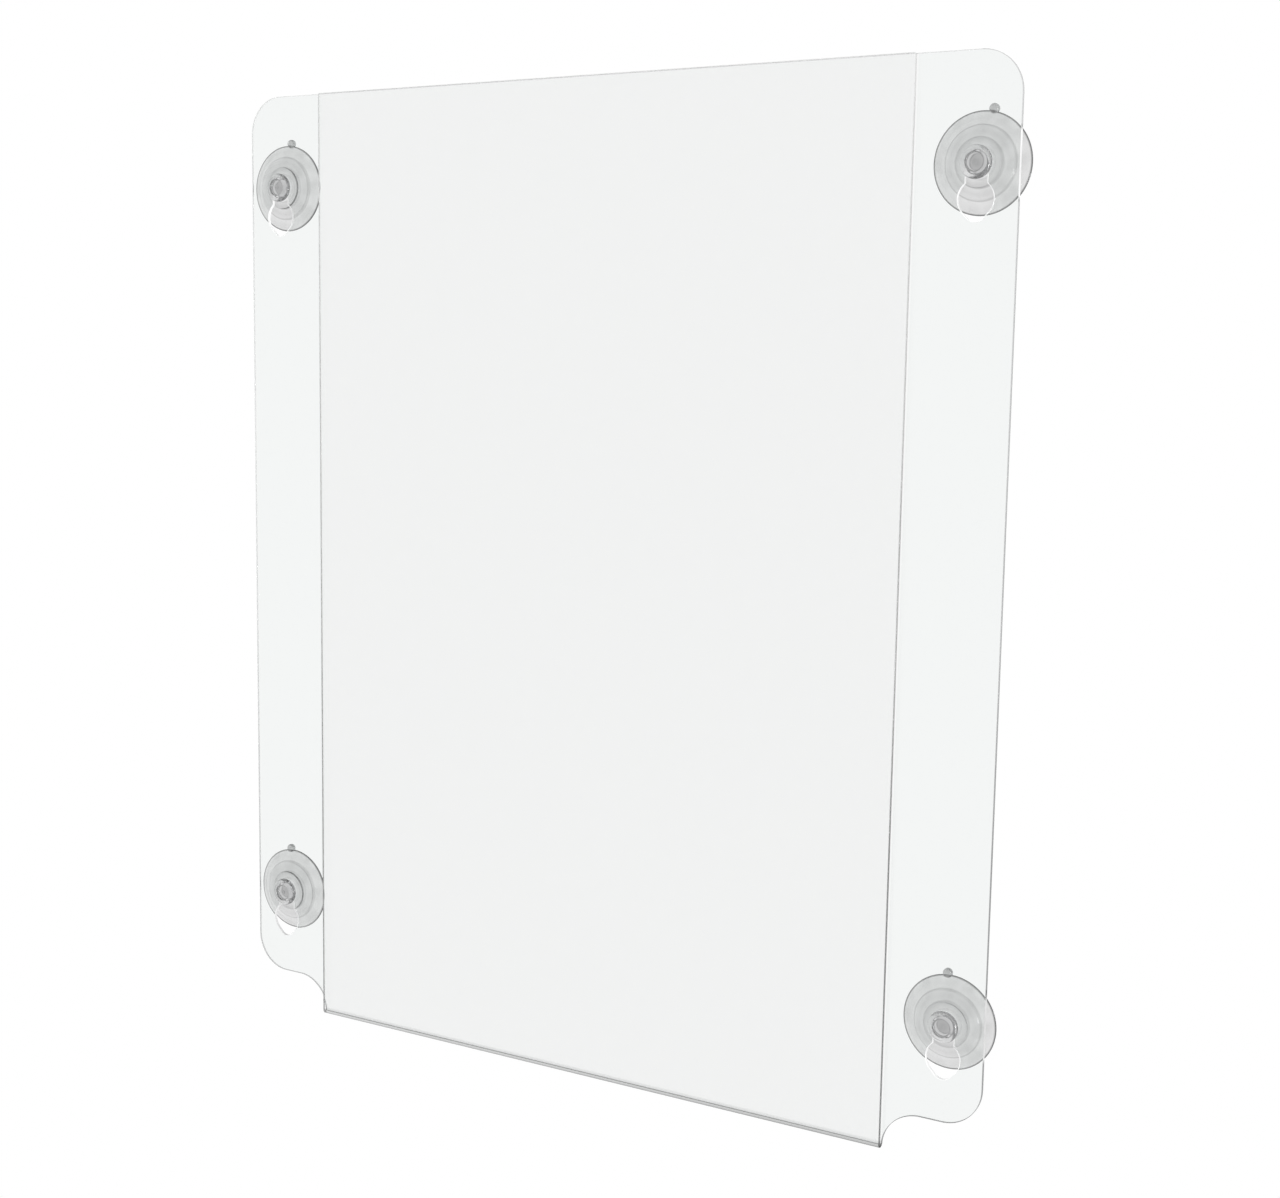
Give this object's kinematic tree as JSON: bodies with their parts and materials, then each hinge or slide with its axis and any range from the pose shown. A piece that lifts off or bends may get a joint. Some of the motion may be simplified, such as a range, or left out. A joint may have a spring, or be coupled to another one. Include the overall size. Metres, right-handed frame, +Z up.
{
  "type": "sneeze guard",
  "caption": "Clear acrylic hanging screen, folded up at its foot into a poster pocket and hung on glass by suction cups in keyholes.",
  "frame": {"origin": "foot of the fold, in the middle of the whole object's width and depth", "axes": "+Z up along the screen, +X to the right seen from the front leaf, +Y from the front leaf towards the glass"},
  "size_m": [0.8059, 0.0204, 0.921],
  "materials": {
    "clear_acrylic": "polished clear sheet",
    "clear_vinyl": "clear soft moulding, satin"
  },
  "bodies": {
    "screen": {"folded_panel": "clear_acrylic"},
    "cup_top_left": {"suction_cup_top_left": "clear_vinyl"},
    "cup_top_right": {"suction_cup_top_right": "clear_vinyl"},
    "cup_bottom_left": {"suction_cup_bottom_left": "clear_vinyl"},
    "cup_bottom_right": {"suction_cup_bottom_right": "clear_vinyl"}
  },
  "joints": [
    {"name": "keyhole_slide_top_left", "type": "slide", "parent": "screen", "child": "cup_top_left", "axis": [0, 0, -1], "range_m": [0, 0.0288]},
    {"name": "keyhole_slide_top_right", "type": "slide", "parent": "screen", "child": "cup_top_right", "axis": [0, 0, -1], "range_m": [0, 0.0288]},
    {"name": "keyhole_slide_bottom_left", "type": "slide", "parent": "screen", "child": "cup_bottom_left", "axis": [0, 0, -1], "range_m": [0, 0.0288]},
    {"name": "keyhole_slide_bottom_right", "type": "slide", "parent": "screen", "child": "cup_bottom_right", "axis": [0, 0, -1], "range_m": [0, 0.0288]}
  ]
}
